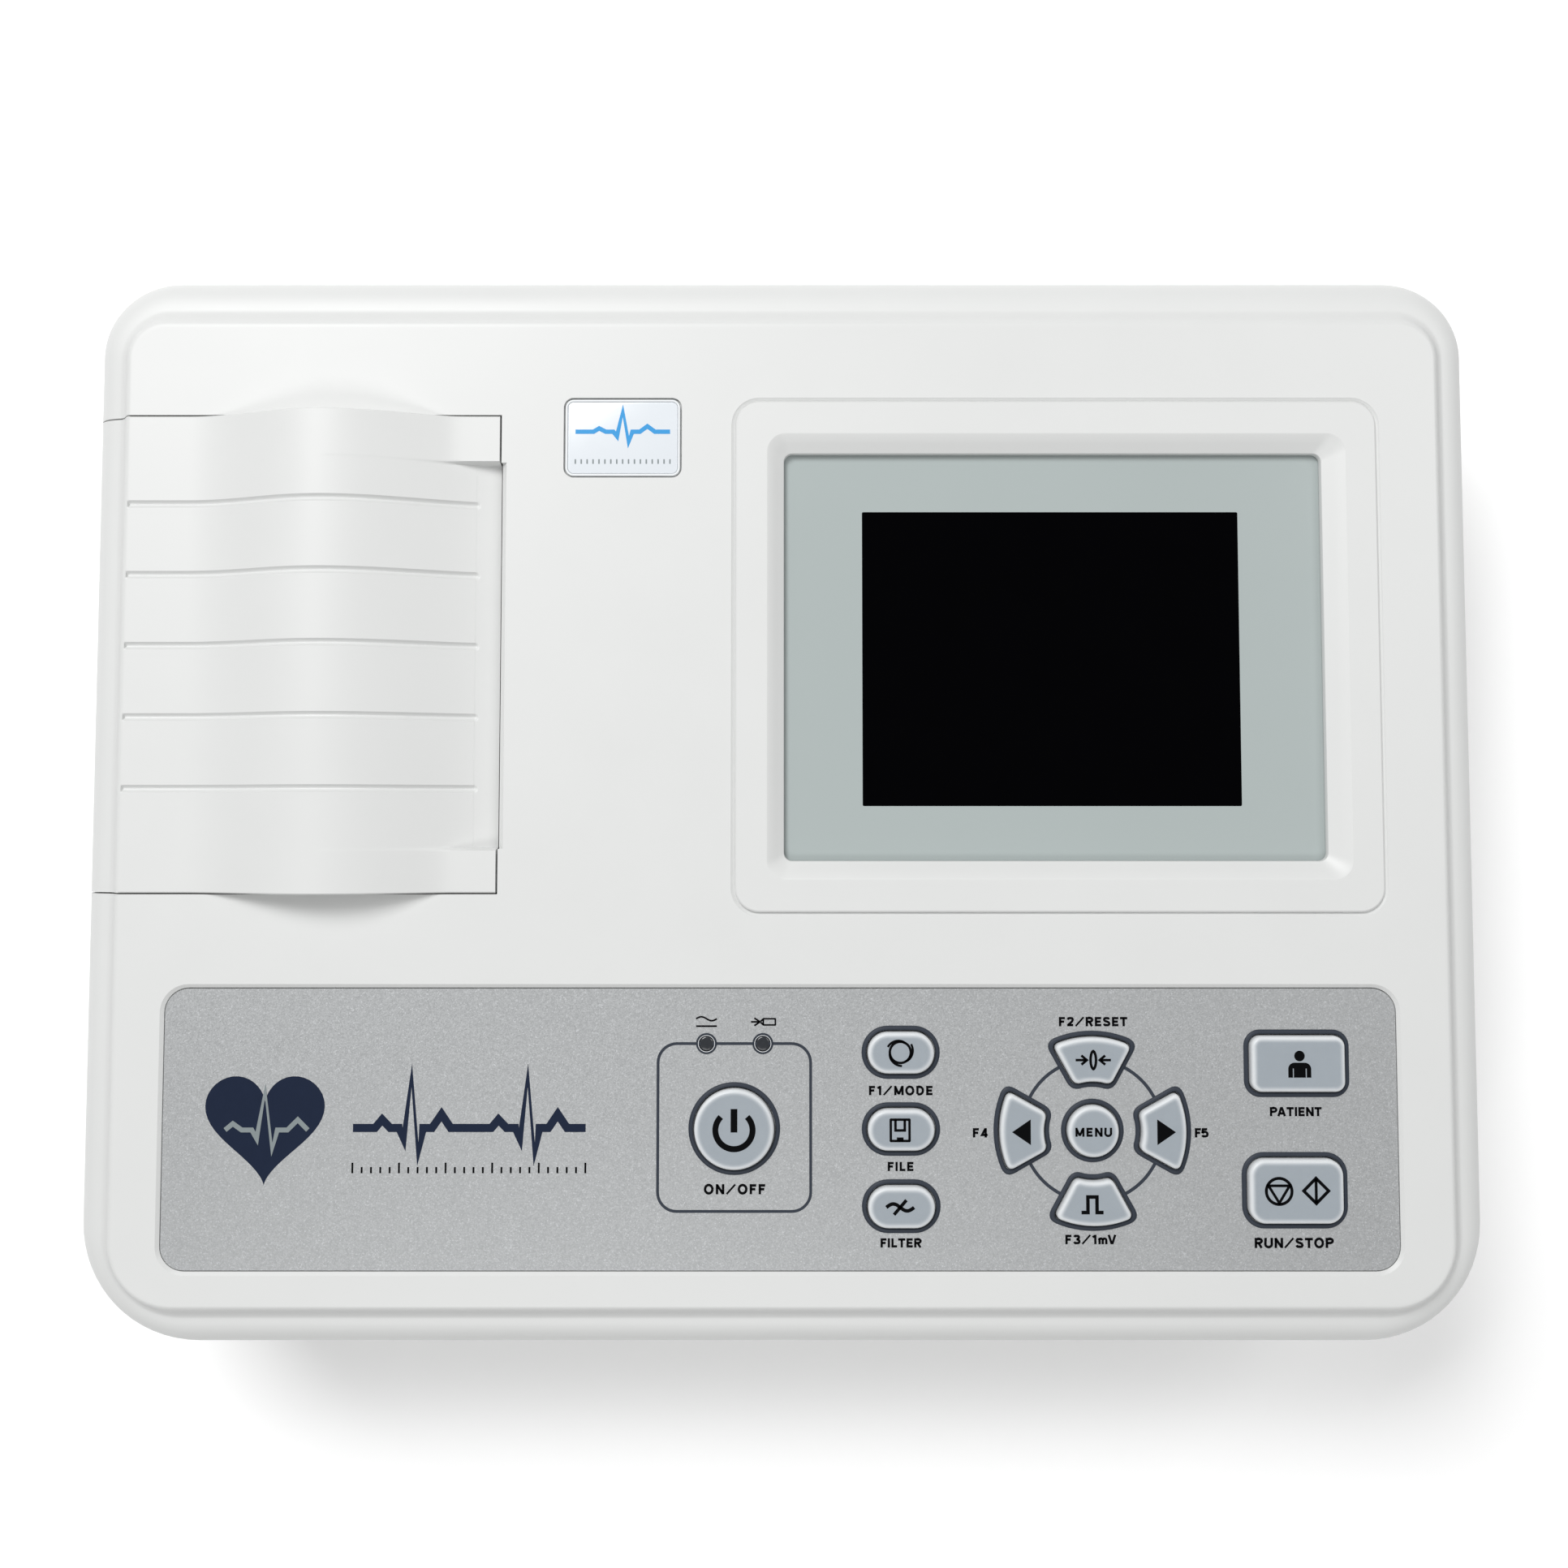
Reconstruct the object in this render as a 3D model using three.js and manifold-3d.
// A portable three-channel ECG machine: a low two-part case with a thermal recorder on the left,
// a small display on the right and a strip of keys along the front. Millimetres, +Z up, +X to the
// user's right, +Y away from the user. The origin is under the middle of the case, on the table.
import * as THREE from "three";
import { mergeVertices } from "three/addons/utils/BufferGeometryUtils.js";
import Module from "manifold-3d";

const wasm = await Module();
wasm.setup();

// ---------------------------------------------------------------- driving dimensions
const GAP = 0.3; // between pieces that touch
const WALL = 2.5; // case wall
const FOOT_Z = 3; // underside of the case
const SPLIT_Z = 34; // parting plane between lower and upper case
const DECK_Z = 66; // flat top deck
const DECK_UNDER = DECK_Z - WALL;
const FLOOR_Z = FOOT_Z + WALL; // inside floor of the lower case

const BODY = { x0: -150, x1: 150, y0: -115, y1: 115, front: 26, back: 19 }; // widest outline
const DECK = { x0: -141, x1: 141, y0: -105.5, y1: 103.5, front: 13, back: 9 };
const BASE = { x0: -148.6, x1: 148.6, y0: -113.6, y1: 113.8, front: 24.6, back: 17.8 };

// recorder
const LID = { x1: -60.8, y0: -19.2, y1: 83.2, wall: 2.2 };
const ARCH = { x0: -128, crest: -97.5, x1: -56, rise: 8, fall: 11.7 }; // over the paper roll
const HINGE = { x: -147, z: 41, barrel: 3, pin: 1.2 };
const EAR = { x0: -73, front: -9.9, back: 73.1 }; // flush corners either side of the paper slot
const GROOVES = { count: 5, pitch: 15.3, y0: 2.9, x1: -66, width: 1.2, depth: 0.6 };
const PAPER = { y0: -8.3, y1: 71.7, radius: 25, core: 6.3, x: -104, z: 36.5 };
const PLATEN = { x: -70, z: 53, radius: 6, shaft: 2.5 };
const MODULE = 0.8; // gear module
const TEETH = { platen: 18, idler: 40, pinion: 12 };
const GEAR = { y0: 76, y1: 80 };
const IDLER_DX = 6; // the idler sits this far right of the platen
const PINION_ANGLE = -10; // degrees below horizontal, from the idler
const CHASSIS = { x0: -138, x1: -57.5, z0: 7, z1: 58, wall: 2, y0: -9.3, y1: 72.7 };
const HEAD = { x0: -63.7, thick: 4, z0: 41.5, z1: 56.5, spring: 51.5 };

// display
const PAD = { x0: -10, x1: 128, y0: -23.3, y1: 86.4, r: 5, rise: 0.8 };
const BEZEL = { x0: -3.1, x1: 121.2, y0: -16.3, y1: 79.3, r: 4 };
const WINDOW = { x0: 0.5, x1: 116.7, y0: -12.5, y1: 75.4, r: 1.8 };
const SCREEN = { x0: 17.4, x1: 99, y0: -0.8, y1: 63 };
const WINDOW_TOP = 62.3;

// keypad
const PANEL = { x0: -130.4, x1: 129.7, y0: -98, y1: -39.4, r: 5 };
const PANEL_TOP = 65.6;
const PANEL_THICK = 0.5;
const RECESS_Z = PANEL_TOP - PANEL_THICK - GAP;
const RING = 1.25; // width of the dark surround of a key
const KEY_TOP = PANEL_TOP + 2;
const KEY_BOTTOM = 57.5;
const PAD_CENTRE = { x: 65.4, y: -69 }; // middle of the ring of menu keys
const LAMPS = { mains_lamp: -15.9, battery_lamp: -4, y: -50.9, r: 1.6 };
const BADGE = { x0: -47, x1: -21.6, y0: 69.9, y1: 87.2, r: 2 };

// power and connectors
const BATTERY = { x0: -117, x1: -37, y0: -94, y1: -44, z1: 26 };
const COVER = { x0: -122, x1: -32, y0: -99, y1: -39, r: 4 };
const SCREW_POSTS = [[-134, -99], [134, -99], [-134, 96], [134, 96]];
const FEET = [[-131, -78], [131, -78], [-129, 84], [129, 84]];
const FOOT_R = 7;
const INLET = { across: 14, out: 113.6, z: 19, w: 27.5, h: 20 };
const AUX = { across: -38, out: 111.3, z: 19, w: 31, h: 12.5 };
const PATIENT = { across: -38, out: 146.3, z: 19, w: 39.2, h: 12.5 }; // in the right wall, 38 behind centre
const GROUND = { x: 52, z: 19, r: 3 };
const SPEAKER = { x: 106, y: -86 };

// ---------------------------------------------------------------- materials
const finish = (color, roughness, metalness = 0) =>
  new THREE.MeshStandardMaterial({ color, roughness, metalness });
const SKIN = {
  case: finish(0xf0f1ef, 0.5),
  panel: finish(0xb4b6b5, 0.45, 0.3),
  key: finish(0xc3cacd, 0.55),
  window: finish(0xb4bebd, 0.15),
  black: finish(0x050507, 0.12),
  darkPlastic: finish(0x2e3036, 0.6),
  greyPlastic: finish(0x8d9092, 0.6),
  rubber: finish(0x1d1e20, 0.85),
  steel: finish(0xb9bbbd, 0.3, 1),
  brass: finish(0xc8a048, 0.35, 1),
  board: finish(0x1d5a38, 0.6),
  paper: finish(0xf4eeea, 0.9),
  battery: finish(0x2f5fa0, 0.5),
  ceramic: finish(0xd9d4c8, 0.4),
};

// ---------------------------------------------------------------- solids
function solid(geometry) {
  const loose = geometry.index ? geometry.toNonIndexed() : geometry;
  const bare = new THREE.BufferGeometry();
  bare.setAttribute("position", loose.getAttribute("position"));
  const merged = mergeVertices(bare, 1e-4);
  const vertProperties = merged.attributes.position.array;
  const triVerts = new Uint32Array(merged.index.array);
  return new wasm.Manifold(new wasm.Mesh({ numProp: 3, vertProperties, triVerts }));
}

function geometryOf(manifold) {
  const mesh = manifold.getMesh();
  const geometry = new THREE.BufferGeometry();
  geometry.setAttribute("position", new THREE.BufferAttribute(mesh.vertProperties, 3));
  geometry.setIndex(new THREE.BufferAttribute(mesh.triVerts, 1));
  geometry.computeVertexNormals();
  return geometry;
}

const join = (...pieces) => pieces.reduce((all, piece) => all.add(piece));
const cut = (from, ...pieces) => pieces.reduce((left, piece) => left.subtract(piece), from);

function box(x0, x1, y0, y1, z0, z1) {
  const geometry = new THREE.BoxGeometry(x1 - x0, y1 - y0, z1 - z0);
  geometry.translate((x0 + x1) / 2, (y0 + y1) / 2, (z0 + z1) / 2);
  return solid(geometry);
}

// A flat outline in x and y, raised from z0 to z1.
function raise(shape, z0, z1, curveSegments = 2) {
  const geometry = new THREE.ExtrudeGeometry(shape, { depth: z1 - z0, bevelEnabled: false, curveSegments });
  geometry.translate(0, 0, z0);
  return solid(geometry);
}

// An outline in x and z, drawn out along y.
function drawAlongY(shape, y0, y1, curveSegments = 2) {
  const geometry = new THREE.ExtrudeGeometry(shape, { depth: y1 - y0, bevelEnabled: false, curveSegments });
  geometry.rotateX(Math.PI / 2);
  geometry.translate(0, y1, 0);
  return solid(geometry);
}

// An outline in y and z, drawn out along x.
function drawAlongX(shape, x0, x1, curveSegments = 2) {
  const geometry = new THREE.ExtrudeGeometry(shape, { depth: x1 - x0, bevelEnabled: false, curveSegments });
  const turn = new THREE.Matrix4().makeBasis(
    new THREE.Vector3(0, 1, 0),
    new THREE.Vector3(0, 0, 1),
    new THREE.Vector3(1, 0, 0),
  );
  geometry.applyMatrix4(turn);
  geometry.translate(x0, 0, 0);
  return solid(geometry);
}

function rodY(x, z, radius, y0, y1, sides = 20) {
  const geometry = new THREE.CylinderGeometry(radius, radius, y1 - y0, sides);
  geometry.translate(x, (y0 + y1) / 2, z);
  return solid(geometry);
}

function rodZ(x, y, radius, z0, z1, sides = 20) {
  const geometry = new THREE.CylinderGeometry(radius, radius, z1 - z0, sides);
  geometry.rotateX(Math.PI / 2);
  geometry.translate(x, y, (z0 + z1) / 2);
  return solid(geometry);
}

function polygon(points) {
  return new THREE.Shape(points.map(([a, b]) => new THREE.Vector2(a, b)));
}

function roundedRect({ x0, x1, y0, y1, r }, grow = 0) {
  const [a, b, c, d, k] = [x0 - grow, x1 + grow, y0 - grow, y1 + grow, Math.max(r + grow, 0.2)];
  const shape = new THREE.Shape();
  shape.absarc(b - k, c + k, k, -Math.PI / 2, 0);
  shape.absarc(b - k, d - k, k, 0, Math.PI / 2);
  shape.absarc(a + k, d - k, k, Math.PI / 2, Math.PI);
  shape.absarc(a + k, c + k, k, Math.PI, 1.5 * Math.PI);
  shape.closePath();
  return shape;
}

function centred(x, y, w, h, r) {
  return { x0: x - w / 2, x1: x + w / 2, y0: y - h / 2, y1: y + h / 2, r };
}

// ---------------------------------------------------------------- lofted case forms
const CORNER_STEPS = 6;

// An outline as points, anticlockwise, with its own radius for the front and the back corners.
function outline({ x0, x1, y0, y1, front, back }, inset = 0) {
  const corners = [
    [x1 - front, y0 + front, front, -90],
    [x1 - back, y1 - back, back, 0],
    [x0 + back, y1 - back, back, 90],
    [x0 + front, y0 + front, front, 180],
  ];
  const points = [];
  for (const [cx, cy, radius, start] of corners) {
    for (let i = 0; i <= CORNER_STEPS; i++) {
      const angle = THREE.MathUtils.degToRad(start + (90 * i) / CORNER_STEPS);
      const reach = radius - inset;
      points.push([cx + reach * Math.cos(angle), cy + reach * Math.sin(angle)]);
    }
  }
  return points;
}

function between(a, b, t, z) {
  return a.map(([x, y], i) => [x + (b[i][0] - x) * t, y + (b[i][1] - y) * t, z]);
}

// A closed solid through rings of equal length, lowest first.
function loft(rings) {
  const count = rings[0].length;
  const index = [];
  for (let level = 0; level + 1 < rings.length; level++) {
    for (let i = 0; i < count; i++) {
      const a = level * count + i;
      const b = level * count + ((i + 1) % count);
      index.push(a, b, b + count, a, b + count, a + count);
    }
  }
  const top = (rings.length - 1) * count;
  for (let i = 1; i + 1 < count; i++) {
    index.push(0, i + 1, i, top, top + i, top + i + 1);
  }
  const geometry = new THREE.BufferGeometry();
  geometry.setAttribute("position", new THREE.Float32BufferAttribute(rings.flat(2), 3));
  geometry.setIndex(index);
  return solid(geometry);
}

// The shoulder of the case: how far in from BODY (0) to DECK (1) at each height.
const SHOULDER = [
  [0, 56.5],
  [0.1, 59.4],
  [0.28, 61.5],
  [0.5, 62.6],
  [0.72, 63],
  [0.86, 63.5],
  [0.95, 65.1],
  [1, DECK_Z],
];

// ---------------------------------------------------------------- the assembly
const machine = new THREE.Group();

function group(name, x = 0, y = 0, z = 0) {
  const made = new THREE.Group();
  made.name = name;
  made.position.set(x, y, z);
  machine.add(made);
  return made;
}

function add(parent, name, manifold, material, x = 0, y = 0, z = 0) {
  const mesh = new THREE.Mesh(geometryOf(manifold), material);
  mesh.name = name;
  mesh.position.set(x, y, z);
  parent.add(mesh);
  return mesh;
}

// ---------------------------------------------------------------- keys
function circleShape(x, y, radius, sides = 24) {
  const corners = Array.from({ length: sides }, (_, i) => (2 * Math.PI * i) / sides);
  return polygon(corners.map((a) => [x + radius * Math.cos(a), y + radius * Math.sin(a)]));
}

// A menu key: a wedge of the ring round PAD_CENTRE, pointing along `turn` degrees.
function wedgeShape(turn, grow) {
  const outer = 20.8 + grow;
  const inner = 9.1 - grow;
  const outerHalf = Math.asin(9.9 / 20.8) + grow / outer;
  const innerHalf = Math.asin(4.2 / 9.1) + (grow * 0.9) / inner;
  const soft = 1.3 + grow * 0.7; // how much of each corner is rounded away
  const at = (radius, angle) => {
    const a = angle + THREE.MathUtils.degToRad(turn);
    return [PAD_CENTRE.x + radius * Math.cos(a), PAD_CENTRE.y + radius * Math.sin(a)];
  };
  const along = (from, to, reach) => {
    const length = Math.hypot(to[0] - from[0], to[1] - from[1]);
    return [0, 1].map((k) => from[k] + ((to[k] - from[k]) * reach) / length);
  };
  const corners = [
    [at(outer, -outerHalf), at(inner, -innerHalf), at(outer, -outerHalf + soft / outer)],
    [at(outer, outerHalf), at(outer, outerHalf - soft / outer), at(inner, innerHalf)],
    [at(inner, innerHalf), at(outer, outerHalf), at(inner, innerHalf - soft / inner)],
    [at(inner, -innerHalf), at(inner, -innerHalf + soft / inner), at(outer, -outerHalf)],
  ];
  const shape = new THREE.Shape();
  const STEPS = 4;
  corners.forEach(([corner, before, after], n) => {
    const start = along(corner, before, soft);
    const end = along(corner, after, soft);
    if (n === 0) shape.moveTo(...start);
    else shape.lineTo(...start);
    shape.quadraticCurveTo(...corner, ...end);
    const arc = n === 0 ? [outer, outerHalf, 1] : n === 2 ? [inner, innerHalf, -1] : null;
    for (let i = 1; arc && i < STEPS; i++) {
      const [radius, half, way] = arc;
      const sweep = half - soft / radius;
      shape.lineTo(...at(radius, way * sweep * ((2 * i) / STEPS - 1)));
    }
  });
  shape.closePath();
  return shape;
}

// Each key's surround; `grow` under zero gives the cap inside it.
const KEYS = {
  power_key: (grow) => circleShape(-10, -68.6, 9.65 + grow),
  mode_key: (grow) => roundedRect(centred(25.1, -52.7, 16.5, 11.1, 5.5), grow),
  file_key: (grow) => roundedRect(centred(25.1, -68.7, 16.5, 11.1, 5.5), grow),
  filter_key: (grow) => roundedRect(centred(25.1, -84.7, 16.5, 11.1, 5.5), grow),
  menu_key: (grow) => circleShape(PAD_CENTRE.x, PAD_CENTRE.y, 6.6 + grow),
  right_key: (grow) => wedgeShape(0, grow),
  reset_key: (grow) => wedgeShape(90, grow),
  left_key: (grow) => wedgeShape(180, grow),
  calibration_key: (grow) => wedgeShape(270, grow),
  patient_key: (grow) => roundedRect(centred(108.6, -55, 22.2, 14.1, 3.4), grow),
  run_stop_key: (grow) => roundedRect(centred(107.8, -81.4, 22.2, 15.8, 4.6), grow),
};

function keyCap(surround) {
  const flange = raise(surround(-0.2), DECK_UNDER - GAP - 1.2, DECK_UNDER - GAP);
  const middle = new THREE.Box2().setFromPoints(surround(0).getPoints()).getCenter(new THREE.Vector2());
  const stem = raise(roundedRect(centred(middle.x, middle.y, 5, 5, 1)), KEY_BOTTOM, DECK_UNDER - 1, 1);
  const cap = raise(surround(-RING), DECK_UNDER - GAP - 0.5, KEY_TOP);
  return join(flange, stem, cap);
}

function keyHoles(slack, z0, z1) {
  return Object.values(KEYS).map((surround) => raise(surround(-RING + slack), z0, z1));
}

function lampHoles(slack, z0, z1) {
  return [LAMPS.mains_lamp, LAMPS.battery_lamp].map((x) => rodZ(x, LAMPS.y, LAMPS.r + slack, z0, z1, 16));
}

// ---------------------------------------------------------------- upper case
const LID_OPENING = { x1: LID.x1 + 0.5, y0: LID.y0 - GAP, y1: LID.y1 + GAP, z0: 37 };

// Leaves of the lid's hinge, shared out between the case and the lid along y.
const CASE_LEAVES = [[LID.y0, -8.8], [22, 42], [72.6, LID.y1]];
const LID_LEAVES = [[-8.4, 21.6], [42.4, 72.2]];

function hingeLeaves(leaves, webLow, webHigh) {
  const pieces = leaves.map(([y0, y1]) =>
    cut(
      join(
        rodY(HINGE.x, HINGE.z, HINGE.barrel, y0, y1, 16),
        box(BODY.x0, HINGE.x, y0, y1, webLow, webHigh),
      ),
      rodY(HINGE.x, HINGE.z, HINGE.pin + 0.15, y0 - 1, y1 + 1, 12),
    ),
  );
  return join(...pieces);
}

function caseShell() {
  const body = outline(BODY);
  const deck = outline(DECK);
  const outside = loft([
    between(body, deck, 0, SPLIT_Z + GAP / 2),
    ...SHOULDER.map(([t, z]) => between(body, deck, t, z)),
  ]);
  const bodyIn = outline(BODY, WALL);
  const deckIn = outline(DECK, WALL);
  const inside = loft([
    between(bodyIn, deckIn, 0, SPLIT_Z - 1),
    between(bodyIn, deckIn, 0, 55.5),
    between(bodyIn, deckIn, 0.25, 58.6),
    between(bodyIn, deckIn, 0.5, 59.8),
    between(bodyIn, deckIn, 0.95, 60.6),
    between(bodyIn, deckIn, 1, DECK_UNDER),
  ]);
  return cut(outside, inside);
}

function displayPad() {
  const raised = raise(roundedRect(PAD), DECK_UNDER, DECK_Z + PAD.rise);
  const flange = raise(roundedRect(BEZEL, 3), WINDOW_TOP + GAP, DECK_Z);
  return join(raised, flange);
}

function displayCut() {
  const ring = ({ x0, x1, y0, y1, r }, grow, z) =>
    outline({ x0: x0 - grow, x1: x1 + grow, y0: y0 - grow, y1: y1 + grow, front: r + grow, back: r + grow })
      .map(([x, y]) => [x, y, z]);
  const slope = loft([
    ring(WINDOW, 0, 64.3),
    ring(BEZEL, 0, DECK_Z + PAD.rise),
    ring(BEZEL, 0.01, DECK_Z + 5),
  ]);
  return join(slope, raise(roundedRect(WINDOW), 50, 65));
}

function upperCase() {
  const { x1, y0, y1, z0 } = LID_OPENING;
  const lidOpening = box(BODY.x0 - 10, x1, y0, y1, z0, DECK_Z + 10);
  const bevel = [[x1 - 1, 61], [x1 + 0.1, 61], [x1 + 1, DECK_Z + 1], [x1 - 1, DECK_Z + 1]];
  const slotBevel = drawAlongY(polygon(bevel), EAR.front, EAR.back);
  const posts = SCREW_POSTS.map(([x, y]) => rodZ(x, y, 4, SPLIT_Z + GAP / 2, DECK_UNDER + 1, 16));
  const holes = SCREW_POSTS.map(([x, y]) => rodZ(x, y, 1.6 + GAP, SPLIT_Z - 1, 48, 12));
  const whole = cut(
    join(caseShell(), displayPad(), ...posts),
    displayCut(),
    lidOpening,
    slotBevel,
    raise(roundedRect(PANEL, GAP), RECESS_Z, DECK_Z + 1),
    raise(roundedRect(BADGE), DECK_Z - 1.1, DECK_Z + 1),
    ...keyHoles(GAP + 0.05, 50, DECK_Z),
    ...lampHoles(GAP, 50, DECK_Z),
    ...holes,
  );
  return join(whole, hingeLeaves(CASE_LEAVES, 36, HINGE.z));
}

// ---------------------------------------------------------------- lower case
// The cut-out for a connector in the back wall.
function rearHole({ across, out, z, w, h }) {
  const [halfWide, halfHigh] = [w / 2 + GAP, h / 2 + GAP];
  return box(across - halfWide, across + halfWide, out - 6, out + 6, z - halfHigh, z + halfHigh);
}

function slots(count, pitch, make) {
  return Array.from({ length: count }, (_, i) => make((i - (count - 1) / 2) * pitch));
}

function lowerCase() {
  const body = outline(BODY);
  const base = outline(BASE);
  const shell = cut(
    loft([
      between(outline(BASE, 4), base, 0, FOOT_Z),
      between(outline(BASE, 1.2), base, 0, FOOT_Z + 1.2),
      between(base, body, 0, FOOT_Z + 4),
      between(base, body, 1, SPLIT_Z - GAP / 2),
    ]),
    loft([
      between(outline(BASE, 5), base, 0, FLOOR_Z),
      between(outline(BASE, WALL), base, 0, FLOOR_Z + 3),
      between(outline(BODY, WALL), body, 0, SPLIT_Z + 1),
    ]),
  );
  const flange = raise(roundedRect(COVER, 2), FLOOR_Z - 1, FLOOR_Z + 2);
  const well = raise(roundedRect({ ...BATTERY, r: 2 }, 3), FLOOR_Z, BATTERY.z1 + 3);
  const wellSpace = raise(roundedRect({ ...BATTERY, r: 2 }, 1), FOOT_Z - 1, BATTERY.z1 + 1);
  const coverSeat = raise(roundedRect(COVER, GAP), FOOT_Z - 1, FLOOR_Z);
  const coverScrewHole = rodZ(COVER.x1 - 3, -69, 1.1 + GAP, FOOT_Z, FLOOR_Z + 3, 12);
  const posts = SCREW_POSTS.map(([x, y]) => rodZ(x, y, 5, FLOOR_Z - 1, SPLIT_Z - GAP / 2, 16));
  const bores = SCREW_POSTS.flatMap(([x, y]) => [
    rodZ(x, y, 1.6 + GAP, FOOT_Z - 1, SPLIT_Z + 1, 12),
    rodZ(x, y, 3.6, FOOT_Z - 1, 9.8, 16),
  ]);
  const footSeats = FEET.map(([x, y]) => rodZ(x, y, FOOT_R + GAP, FOOT_Z - 1, FOOT_Z + 1, 24));
  const speakerSlots = slots(5, 4.5, (d) => {
    const y = SPEAKER.y + d;
    return box(SPEAKER.x - 11, SPEAKER.x + 11, y - 0.9, y + 0.9, FOOT_Z - 1, FLOOR_Z + 1);
  });
  const rearVents = slots(7, 5, (d) => box(92 + d - 1, 92 + d + 1, 105, 120, 12, 28));
  return cut(
    join(shell, flange, well, ...posts),
    wellSpace,
    coverSeat,
    coverScrewHole,
    ...bores,
    ...footSeats,
    rearHole(INLET),
    rearHole(AUX),
    rearHole(PATIENT).rotate([0, 0, -90]),
    rodY(GROUND.x, GROUND.z, GROUND.r + GAP, 105, 120, 16),
    rodY(GROUND.x, GROUND.z, 6, 112.6, 120, 20),
    ...speakerSlots,
    ...rearVents,
  );
}

// ---------------------------------------------------------------- printer lid
// Height of the lid's outer surface over x, from the left crease to the paper slot.
function lidHeight(x) {
  const swell = (from, to, at) => (1 - Math.cos((Math.PI * (at - from)) / (to - from))) / 2;
  if (x <= ARCH.x0) return DECK_Z;
  if (x <= ARCH.crest) return DECK_Z + ARCH.rise * swell(ARCH.x0, ARCH.crest, x);
  return DECK_Z + ARCH.rise - ARCH.fall * swell(ARCH.crest, ARCH.x1, x);
}

function lidProfile() {
  const shoulder = SHOULDER.map(([t, z]) => [BODY.x0 + (DECK.x0 - BODY.x0) * t, z]);
  const crown = [];
  for (let x = ARCH.x0; x < LID.x1 - 1; x += 5) crown.push([x, lidHeight(x)]);
  crown.push([LID.x1, lidHeight(LID.x1)]);
  const under = [...crown].reverse().map(([x, z]) => [x, z - LID.wall]);
  return polygon([
    [BODY.x0, HINGE.z + 3.4],
    ...shoulder,
    ...crown,
    ...under,
    [-140.5, DECK_Z - LID.wall],
    [-143.5, 60.4],
    [-147.6, 57],
    [-147.6, HINGE.z + 3.4],
  ]);
}

// A thin wall that closes one end of the lid and carries a platen bush.
function lidEnd(y0, y1) {
  const below = [];
  for (let x = ARCH.x0; x < LID.x1 - 1; x += 5) below.push([x, lidHeight(x) - 1]);
  const underside = [[-144, 52], [-80, 52], [-78, 46.5], [-62, 46.5], [-62, 61]];
  const outline = [...underside, ...below.reverse(), [-141, 65], [-144, 61]];
  const wall = drawAlongY(polygon(outline), y0, y1);
  return cut(wall, rodY(PLATEN.x, PLATEN.z, 4 + GAP, y0 - 1, y1 + 1, 24));
}

function printerLid() {
  const shell = drawAlongY(lidProfile(), LID.y0, LID.y1);
  const ears = [[LID.y0, EAR.front], [EAR.back, LID.y1]].map(([y0, y1]) =>
    box(EAR.x0, LID.x1, y0, y1, 61, DECK_Z),
  );
  const grooves = Array.from({ length: GROOVES.count }, (_, i) => {
    const y = GROOVES.y0 + i * GROOVES.pitch;
    const ridge = [];
    for (let x = ARCH.x0; x <= GROOVES.x1; x += 5) ridge.push([x, lidHeight(x) - GROOVES.depth]);
    const above = [[GROOVES.x1, 80], [-141.5, 80], [-141.5, DECK_Z - GROOVES.depth]];
    return drawAlongY(polygon([...ridge, ...above]), y - GROOVES.width / 2, y + GROOVES.width / 2);
  });
  return join(
    cut(join(shell, ...ears), ...grooves),
    lidEnd(LID.y0, LID.y0 + 2),
    lidEnd(LID.y1 - 2, LID.y1),
    hingeLeaves(LID_LEAVES, HINGE.z, HINGE.z + 5),
  );
}

// ---------------------------------------------------------------- gears
const TOOTH_PLAY = 0.24; // each tooth is this much thinner than half the pitch
const pitchRadius = (teeth) => (teeth * MODULE) / 2;

// Outline of an involute gear with a tooth centred on the x axis.
function gearShape(teeth, bore) {
  const pitch = pitchRadius(teeth);
  const pressure = THREE.MathUtils.degToRad(20);
  const base = pitch * Math.cos(pressure);
  const tip = pitch + 0.9 * MODULE;
  const root = pitch - 1.25 * MODULE;
  const involute = (radius) => {
    const a = Math.acos(Math.min(1, base / radius));
    return Math.tan(a) - a;
  };
  const halfTooth = (Math.PI * MODULE * 0.5 - TOOTH_PLAY) / 2 / pitch;
  const halfAt = (radius) => halfTooth + involute(pitch) - involute(Math.max(radius, base));
  const radii = [root, pitch, tip];
  const shape = new THREE.Shape();
  const points = [];
  for (let tooth = 0; tooth < teeth; tooth++) {
    const middle = (2 * Math.PI * tooth) / teeth;
    const rise = radii.map((radius) => [radius, middle - halfAt(radius)]);
    const fall = [...radii].reverse().map((radius) => [radius, middle + halfAt(radius)]);
    points.push(...rise, ...fall);
  }
  points.forEach(([radius, angle], i) => {
    const p = [radius * Math.cos(angle), radius * Math.sin(angle)];
    if (i === 0) shape.moveTo(...p);
    else shape.lineTo(...p);
  });
  shape.closePath();
  const hole = new THREE.Path();
  hole.absarc(0, 0, bore, 0, 2 * Math.PI, true);
  shape.holes.push(hole);
  return shape;
}

const IDLER = {
  x: PLATEN.x + IDLER_DX,
  z: PLATEN.z - Math.sqrt((pitchRadius(TEETH.platen) + pitchRadius(TEETH.idler)) ** 2 - IDLER_DX ** 2),
};
const PINION_RAD = THREE.MathUtils.degToRad(PINION_ANGLE);
const PINION_REACH = pitchRadius(TEETH.idler) + pitchRadius(TEETH.pinion);
const PINION = {
  x: IDLER.x + PINION_REACH * Math.cos(PINION_RAD),
  z: IDLER.z + PINION_REACH * Math.sin(PINION_RAD),
};

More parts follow.
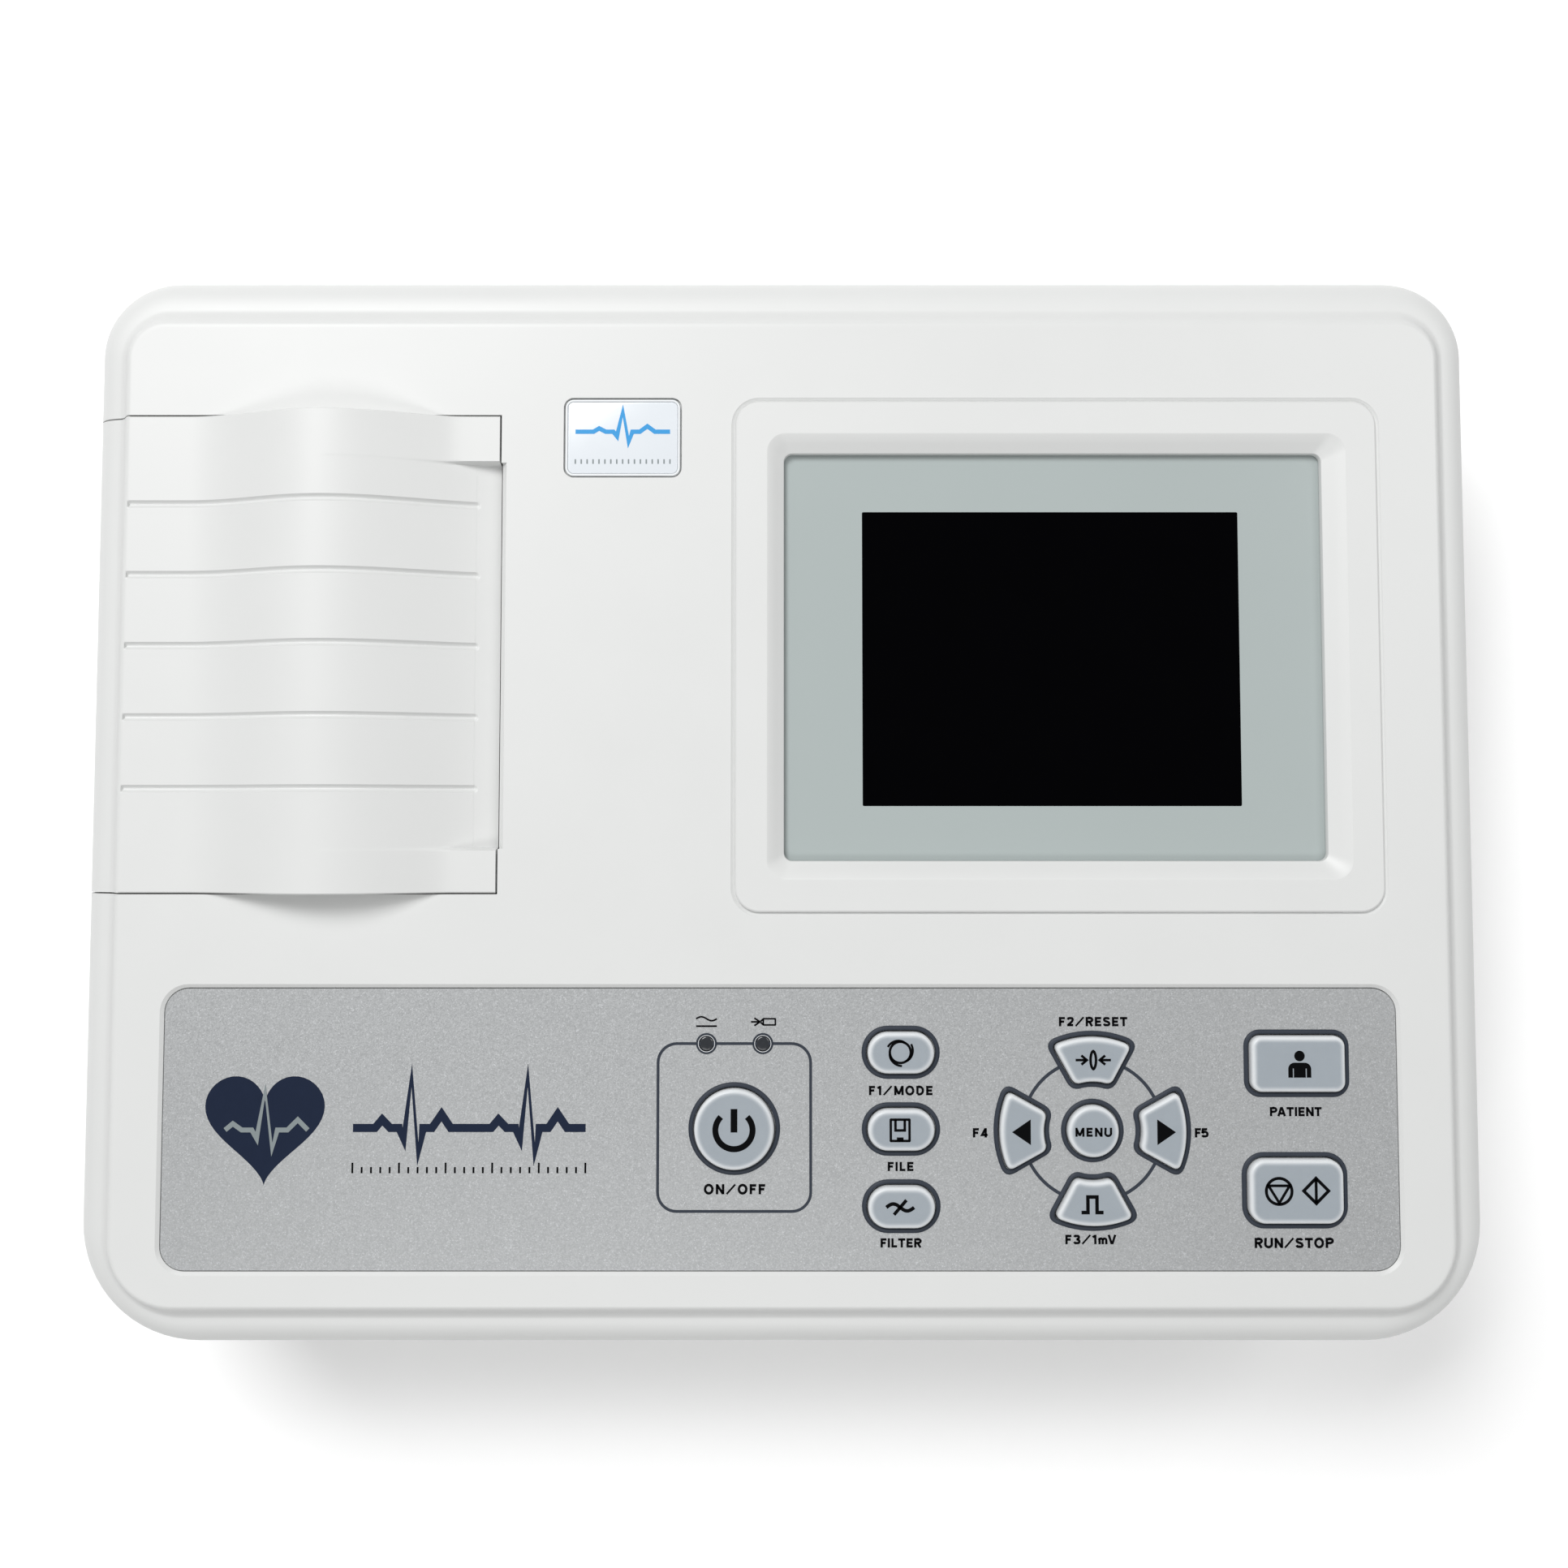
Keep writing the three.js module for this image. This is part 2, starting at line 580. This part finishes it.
// Turn of gear b so that its teeth fall in the gaps of gear a, both drawn in the x-z plane.
function meshTurn(a, teethA, turnA, b, teethB) {
  const line = Math.atan2(b.z - a.z, b.x - a.x);
  const pitch = Math.PI * MODULE;
  const offset = (line - turnA) * pitchRadius(teethA);
  return line + Math.PI - (pitch / 2 - offset) / pitchRadius(teethB);
}

const PLATEN_TURN = Math.atan2(IDLER.z - PLATEN.z, IDLER.x - PLATEN.x);
const IDLER_TURN = meshTurn(PLATEN, TEETH.platen, PLATEN_TURN, IDLER, TEETH.idler);
const PINION_TURN = meshTurn(IDLER, TEETH.idler, IDLER_TURN, PINION, TEETH.pinion);

function gear(teeth, bore, turn) {
  const geometry = new THREE.ExtrudeGeometry(gearShape(teeth, bore), {
    depth: GEAR.y1 - GEAR.y0,
    bevelEnabled: false,
    curveSegments: 8,
  });
  geometry.rotateZ(turn);
  geometry.rotateX(Math.PI / 2);
  geometry.translate(0, GEAR.y1 - GEAR.y0, 0);
  return solid(geometry);
}

// ---------------------------------------------------------------- recorder
function chassis() {
  const { x0, x1, z0, z1, wall, y0, y1 } = CHASSIS;
  const side = polygon([[x0, z0], [-50, z0], [-50, z1], [-78, z1], [-84, z1], [x0, z1 - 6]]);
  const sides = [drawAlongY(side, y0 - wall, y0), drawAlongY(side, y1, y1 + wall)];
  const motorPlate = box(-51, -28, y1, y1 + wall, 12, 46);
  const tray = join(
    box(x0, x1, y0 - wall, y1 + wall, z0, z0 + wall),
    box(x0, x0 + wall, y0 - wall, y1 + wall, z0, 50),
    box(x1 - wall, x1, y0 - wall, y1 + wall, z0, 38.5),
    box(-52, -50, y0 - wall, y1 + wall, 44, z1),
    ...sides,
    motorPlate,
    rodY(IDLER.x, IDLER.z, 2.5, y1 + 1, GEAR.y1 + 1),
  );
  const standoffs = [[-130, 0], [-130, 64], [-66, 0], [-66, 64]].map(([x, y]) =>
    rodZ(x, y, 4, FLOOR_Z + GAP, z0 + 1, 12),
  );
  const deep = [y0 - wall - 1, y1 + wall + 1];
  const slot = (x, z, r) => join(rodY(x, z, r, ...deep), box(x - r, x + r, ...deep, z, z1 + 1));
  return cut(
    join(tray, ...standoffs),
    slot(PLATEN.x, PLATEN.z, PLATEN.shaft + 0.6),
    slot(PAPER.x, PAPER.z, 3 + 0.5),
    rodY(HEAD.x0 + 3.2, HEAD.z0, 1.3, ...deep, 12),
    rodY(PINION.x, PINION.z, 6, ...deep),
  );
}

function printHead() {
  const { x0, thick, z0, z1 } = HEAD;
  const y0 = PAPER.y0 - 0.4;
  const y1 = PAPER.y1 + 0.4;
  const plate = box(x0, x0 + thick, y0, y1, z0 + 1, z1);
  const rear = x0 + thick;
  const fins = slots(4, 3.4, (d) => {
    return box(rear - 0.1, rear + 1.6, y0 + 16, y1 - 16, 51 + d - 0.7, 51 + d + 0.7);
  });
  const barrel = rodY(x0 + 3.2, z0, 2.4, y0, y1, 16);
  return cut(join(plate, barrel, ...fins), rodY(x0 + 3.2, z0, 1.3, y0 - 1, y1 + 1, 12));
}

// A compression spring along x, its wire ends ground flat by their blunt faces.
function springAlongX(x0, x1, y, z) {
  const turns = 4;
  const coil = 2.8;
  const wire = 0.45;
  class Helix extends THREE.Curve {
    getPoint(t, target = new THREE.Vector3()) {
      const angle = 2 * Math.PI * turns * t;
      const reach = x1 - x0 - 2 * wire;
      return target.set(x0 + wire + reach * t, y + coil * Math.cos(angle), z + coil * Math.sin(angle));
    }
  }
  const section = new THREE.Shape();
  section.absarc(0, 0, wire, 0, 2 * Math.PI);
  const geometry = new THREE.ExtrudeGeometry(section, {
    steps: turns * 9,
    extrudePath: new Helix(),
    curveSegments: 3,
    bevelEnabled: false,
  });
  return solid(geometry);
}

function tube(x, z, outer, inner, y0, y1, sides = 32) {
  return cut(rodY(x, z, outer, y0, y1, sides), rodY(x, z, inner, y0 - 1, y1 + 1, sides));
}

const MOTOR_FACE = CHASSIS.y1 - GAP;

function motor() {
  const ear = [MOTOR_FACE - 1.5, MOTOR_FACE];
  const can = rodY(0, 0, 12.5, MOTOR_FACE - 18, MOTOR_FACE - 1, 28);
  const flange = join(
    box(-3.5, 3.5, ...ear, -17, 17),
    rodY(0, -17, 3.5, ...ear, 12),
    rodY(0, 17, 3.5, ...ear, 12),
    rodY(0, 0, 13, ...ear, 28),
  );
  return cut(join(can, flange), rodY(0, 0, 1.5, MOTOR_FACE - 5, MOTOR_FACE + 1, 12));
}

// The pinion and the motor shaft it is pressed on, along y from the gear's front face.
function motorPinion() {
  const shaft = rodY(0, 0, 1.2, MOTOR_FACE - 4.5 - GEAR.y0, GEAR.y1 - GEAR.y0 + 0.6, 12);
  return join(gear(TEETH.pinion, 1.1, PINION_TURN), shaft);
}

// ---------------------------------------------------------------- connectors and electronics
// A D-shaped socket, wider at the top, facing +x, with its mounting flange's face on x = 0.
function dSocket(width, height, depth) {
  const flange = roundedRect(centred(0, 0, width, height, 1.5));
  const half = width / 2 - 7;
  const shroud = polygon([[-half + 1, -4.2], [half - 1, -4.2], [half, 4.2], [-half, 4.2]]);
  const nut = (y) => drawAlongX(circleShape(y, 0, 2.4, 6), -0.1, 2.2);
  return join(
    drawAlongX(flange, -depth, 0),
    drawAlongX(shroud, -0.1, 2.6),
    nut(half + 3.6),
    nut(-half - 3.6),
  );
}

// An appliance inlet with its three blades, facing +x, with its face on x = 0.
function mainsInlet() {
  const { w, h } = INLET;
  const mouth = polygon([[-11, -7], [11, -7], [11, 3.5], [7.5, 7], [-7.5, 7], [-11, 3.5]]);
  const body = cut(drawAlongX(roundedRect(centred(0, 0, w, h, 2)), -22, 0), drawAlongX(mouth, -16, 1));
  const blade = (y, z) => box(-17, -2, y - 1, y + 1, z - 2, z + 2);
  return join(body, blade(-7, -1.5), blade(7, -1.5), blade(0, 2.2));
}

function board(x0, x1, y0, y1, z, chips) {
  const plate = box(x0, x1, y0, y1, z, z + 1.6);
  const parts = chips.map(([x, y, w, d, h]) => {
    return box(x - w / 2, x + w / 2, y - d / 2, y + d / 2, z + 1, z + 1.6 + h);
  });
  return join(plate, ...parts);
}

function screw(headRadius, headHeight, shankRadius, length) {
  const profile = [
    [0, 0],
    [headRadius * 0.85, 0],
    [headRadius, headHeight * 0.4],
    [headRadius, headHeight],
    [shankRadius, headHeight],
    [shankRadius, length - 2],
    [0, length],
  ];
  const geometry = new THREE.LatheGeometry(profile.map(([r, h]) => new THREE.Vector2(r, h)), 10);
  geometry.rotateX(Math.PI / 2);
  const slot = (w, d) => box(-w / 2, w / 2, -d / 2, d / 2, -1, headHeight * 0.55);
  return cut(solid(geometry), slot(headRadius * 1.2, 0.8), slot(0.8, headRadius * 1.2));
}

function rubberFoot() {
  const top = FOOT_Z + 0.7;
  const rounded = [[FOOT_R - 1.2, 0], [FOOT_R - 0.3, 0.4], [FOOT_R, 1.2]];
  const profile = [[0, 0], ...rounded, [FOOT_R, top], [0, top]];
  const geometry = new THREE.LatheGeometry(profile.map(([r, h]) => new THREE.Vector2(r, h)), 20);
  geometry.rotateX(Math.PI / 2);
  return solid(geometry);
}

// ---------------------------------------------------------------- putting it together
function buildCase() {
  const shell = group("case");
  add(shell, "top_case", upperCase(), SKIN.case);
  add(shell, "bottom_case", lowerCase(), SKIN.case);
  add(shell, "badge_plate", raise(roundedRect(BADGE, -GAP), DECK_Z - 0.8, DECK_Z - 0.1), SKIN.key);
  SCREW_POSTS.forEach(([x, y], i) =>
    add(shell, `case_screw_${i + 1}`, screw(3, 2.4, 1.5, 36), SKIN.steel, x, y, 7.1),
  );
  FEET.forEach(([x, y], i) => add(shell, `foot_${i + 1}`, rubberFoot(), SKIN.rubber, x, y));
}

function buildDisplay() {
  const display = group("display");
  const glass = raise(roundedRect(BEZEL, 1), WINDOW_TOP - 1.5, WINDOW_TOP);
  add(display, "display_window", glass, SKIN.window);
  const screen = raise(roundedRect({ ...SCREEN, r: 0.5 }, 2), 57.5, WINDOW_TOP - 1.5 - GAP);
  add(display, "lcd_panel", screen, SKIN.black);
  const can = cut(
    raise(roundedRect({ ...SCREEN, r: 1 }, 6), 51, WINDOW_TOP - 2),
    raise(roundedRect({ ...SCREEN, r: 0.5 }, 2.4), 57.2, WINDOW_TOP),
  );
  add(display, "lcd_frame", can, SKIN.steel);
}

function buildKeypad() {
  const keypad = group("keypad");
  const sheet = cut(
    raise(roundedRect(PANEL), PANEL_TOP - PANEL_THICK, PANEL_TOP),
    ...keyHoles(GAP, 60, 70),
    ...lampHoles(0.2, 60, 70),
  );
  add(keypad, "keypad_panel", sheet, SKIN.panel);
  for (const [name, surround] of Object.entries(KEYS)) {
    add(keypad, name, keyCap(surround), SKIN.key);
  }
  for (const name of ["mains_lamp", "battery_lamp"]) {
    const lens = join(
      rodZ(0, 0, LAMPS.r, 55.9, PANEL_TOP + 0.1, 16),
      rodZ(0, 0, LAMPS.r + 0.8, 56.5, 58, 16),
    );
    add(keypad, name, lens, SKIN.darkPlastic, LAMPS[name], LAMPS.y);
  }
  const mat = raise(roundedRect({ x0: -28, x1: 126, y0: -96, y1: -42, r: 3 }), 54.2, 55.5);
  add(keypad, "keypad_mat", mat, SKIN.greyPlastic);
  add(keypad, "key_board", board(-30, 128, -97, -41, 52, []), SKIN.board);
}

function buildRecorder() {
  const recorder = group("recorder");
  add(recorder, "printer_lid", printerLid(), SKIN.case);
  const hingePin = rodY(HINGE.x, HINGE.z, HINGE.pin, LID.y0 + 0.5, LID.y1 - 0.5, 12);
  add(recorder, "lid_hinge_pin", hingePin, SKIN.steel);
  add(recorder, "printer_chassis", chassis(), SKIN.greyPlastic);

  const platen = new THREE.Group();
  platen.position.set(PLATEN.x, 0, PLATEN.z);
  recorder.add(platen);
  const shaft = rodY(0, 0, PLATEN.shaft, LID.y0 + 0.4, LID.y1 - 0.4, 20);
  add(platen, "platen_shaft", shaft, SKIN.steel);
  const roller = tube(0, 0, PLATEN.radius, PLATEN.shaft + GAP, -8.8, 72.2, 28);
  add(platen, "platen_roller", roller, SKIN.rubber);
  const platenGear = gear(TEETH.platen, PLATEN.shaft + GAP, PLATEN_TURN);
  add(platen, "platen_gear", platenGear, SKIN.darkPlastic, 0, GEAR.y0);
  const bush = (y0, y1) => tube(0, 0, 4, PLATEN.shaft + 0.15, y0, y1, 24);
  add(platen, "platen_bush_front", bush(LID.y0 + 0.2, LID.y0 + 3), SKIN.brass);
  add(platen, "platen_bush_back", bush(LID.y1 - 2.8, LID.y1 - 0.2), SKIN.brass);

  const idler = gear(TEETH.idler, 2.5 + 0.2, IDLER_TURN);
  add(recorder, "idler_gear", idler, SKIN.darkPlastic, IDLER.x, GEAR.y0, IDLER.z);
  add(recorder, "motor_pinion", motorPinion(), SKIN.brass, PINION.x, GEAR.y0, PINION.z);
  add(recorder, "drive_motor", motor(), SKIN.steel, PINION.x, 0, PINION.z);

  add(recorder, "print_head", printHead(), SKIN.ceramic);
  const headPin = rodY(HEAD.x0 + 3.2, HEAD.z0, 1, CHASSIS.y0 - 1.8, CHASSIS.y1 + 1.8, 12);
  add(recorder, "head_pivot_pin", headPin, SKIN.steel);
  const springEnds = [HEAD.x0 + HEAD.thick + 0.5, -52 - GAP];
  add(recorder, "head_spring_front", springAlongX(...springEnds, 0, HEAD.spring), SKIN.steel);
  add(recorder, "head_spring_back", springAlongX(...springEnds, 63.4, HEAD.spring), SKIN.steel);

  const reel = new THREE.Group();
  reel.position.set(PAPER.x, 0, PAPER.z);
  recorder.add(reel);
  add(reel, "paper_roll", tube(0, 0, PAPER.radius, PAPER.core + GAP, PAPER.y0, PAPER.y1, 40), SKIN.paper);
  const spindle = join(
    rodY(0, 0, PAPER.core, PAPER.y0 - 0.4, PAPER.y1 + 0.4, 24),
    rodY(0, 0, 3, CHASSIS.y0 - 3, CHASSIS.y1 + 3, 16),
  );
  add(reel, "paper_spindle", spindle, SKIN.darkPlastic);
}

function buildElectronics() {
  const inside = group("electronics");
  const mainChips = [
    [20, 10, 24, 24, 2],
    [52, 24, 14, 20, 2],
    [64, -14, 12, 12, 3],
    [0, -16, 10, 16, 2],
    [-24, 20, 12, 8, 9],
  ];
  add(inside, "main_board", board(-40, 128, -30, 56, 12, mainChips), SKIN.board);
  add(inside, "signal_shield", raise(roundedRect(centred(104, 38, 40, 30, 1)), 13.9, 24), SKIN.steel);
  const powerChips = [[-14, 80, 8, 10, 12], [40, 72, 14, 10, 10], [66, 80, 16, 12, 12]];
  add(inside, "power_board", board(-20, 84, 64, 88, 10, powerChips), SKIN.board);
  const core = join(box(-8, 28, 66, 86, 11.9, 34), box(-2, 22, 64, 88, 15, 31));
  add(inside, "mains_transformer", core, SKIN.darkPlastic);
  const pack = raise(roundedRect({ ...BATTERY, r: 2 }), FLOOR_Z + 0.7, BATTERY.z1);
  add(inside, "battery_pack", pack, SKIN.battery);
  const lid = cut(
    raise(roundedRect(COVER), FOOT_Z, FLOOR_Z - GAP),
    rodZ(COVER.x1 - 3, -69, 1.4 + GAP, 0, 10, 12),
    ...slots(6, 2.4, (d) => {
      return box(COVER.x0 + 5, COVER.x0 + 17, d - 69.6, d - 68.4, FOOT_Z - 1, FOOT_Z + 0.6);
    }),
  );
  add(inside, "battery_cover", lid, SKIN.case);
  add(inside, "battery_cover_screw", screw(2.3, 0.9, 1.0, 6), SKIN.steel, COVER.x1 - 3, -69, FOOT_Z - 1);
  const speaker = join(rodZ(0, 0, 13, 0, 3, 24), rodZ(0, 0, 9, 2, 8, 20));
  add(inside, "speaker", speaker, SKIN.darkPlastic, SPEAKER.x, SPEAKER.y, FLOOR_Z + GAP);
}

function buildConnectors() {
  const sockets = group("connectors");
  const patient = dSocket(PATIENT.w, PATIENT.h, 9);
  add(sockets, "patient_socket", patient, SKIN.steel, PATIENT.out, -PATIENT.across, PATIENT.z);
  const aux = dSocket(AUX.w, AUX.h, 9).rotate([0, 0, 90]);
  add(sockets, "aux_socket", aux, SKIN.steel, AUX.across, AUX.out, AUX.z);
  const inlet = mainsInlet().rotate([0, 0, 90]);
  add(sockets, "mains_inlet", inlet, SKIN.darkPlastic, INLET.across, INLET.out, INLET.z);
  const post = join(rodY(0, 0, GROUND.r, 104, 114.8, 16), rodY(0, 0, 4.5, 112.9, 114.3, 6));
  add(sockets, "ground_terminal", post, SKIN.brass, GROUND.x, 0, GROUND.z);
}

buildCase();
buildDisplay();
buildKeypad();
buildRecorder();
buildElectronics();
buildConnectors();

export default machine;
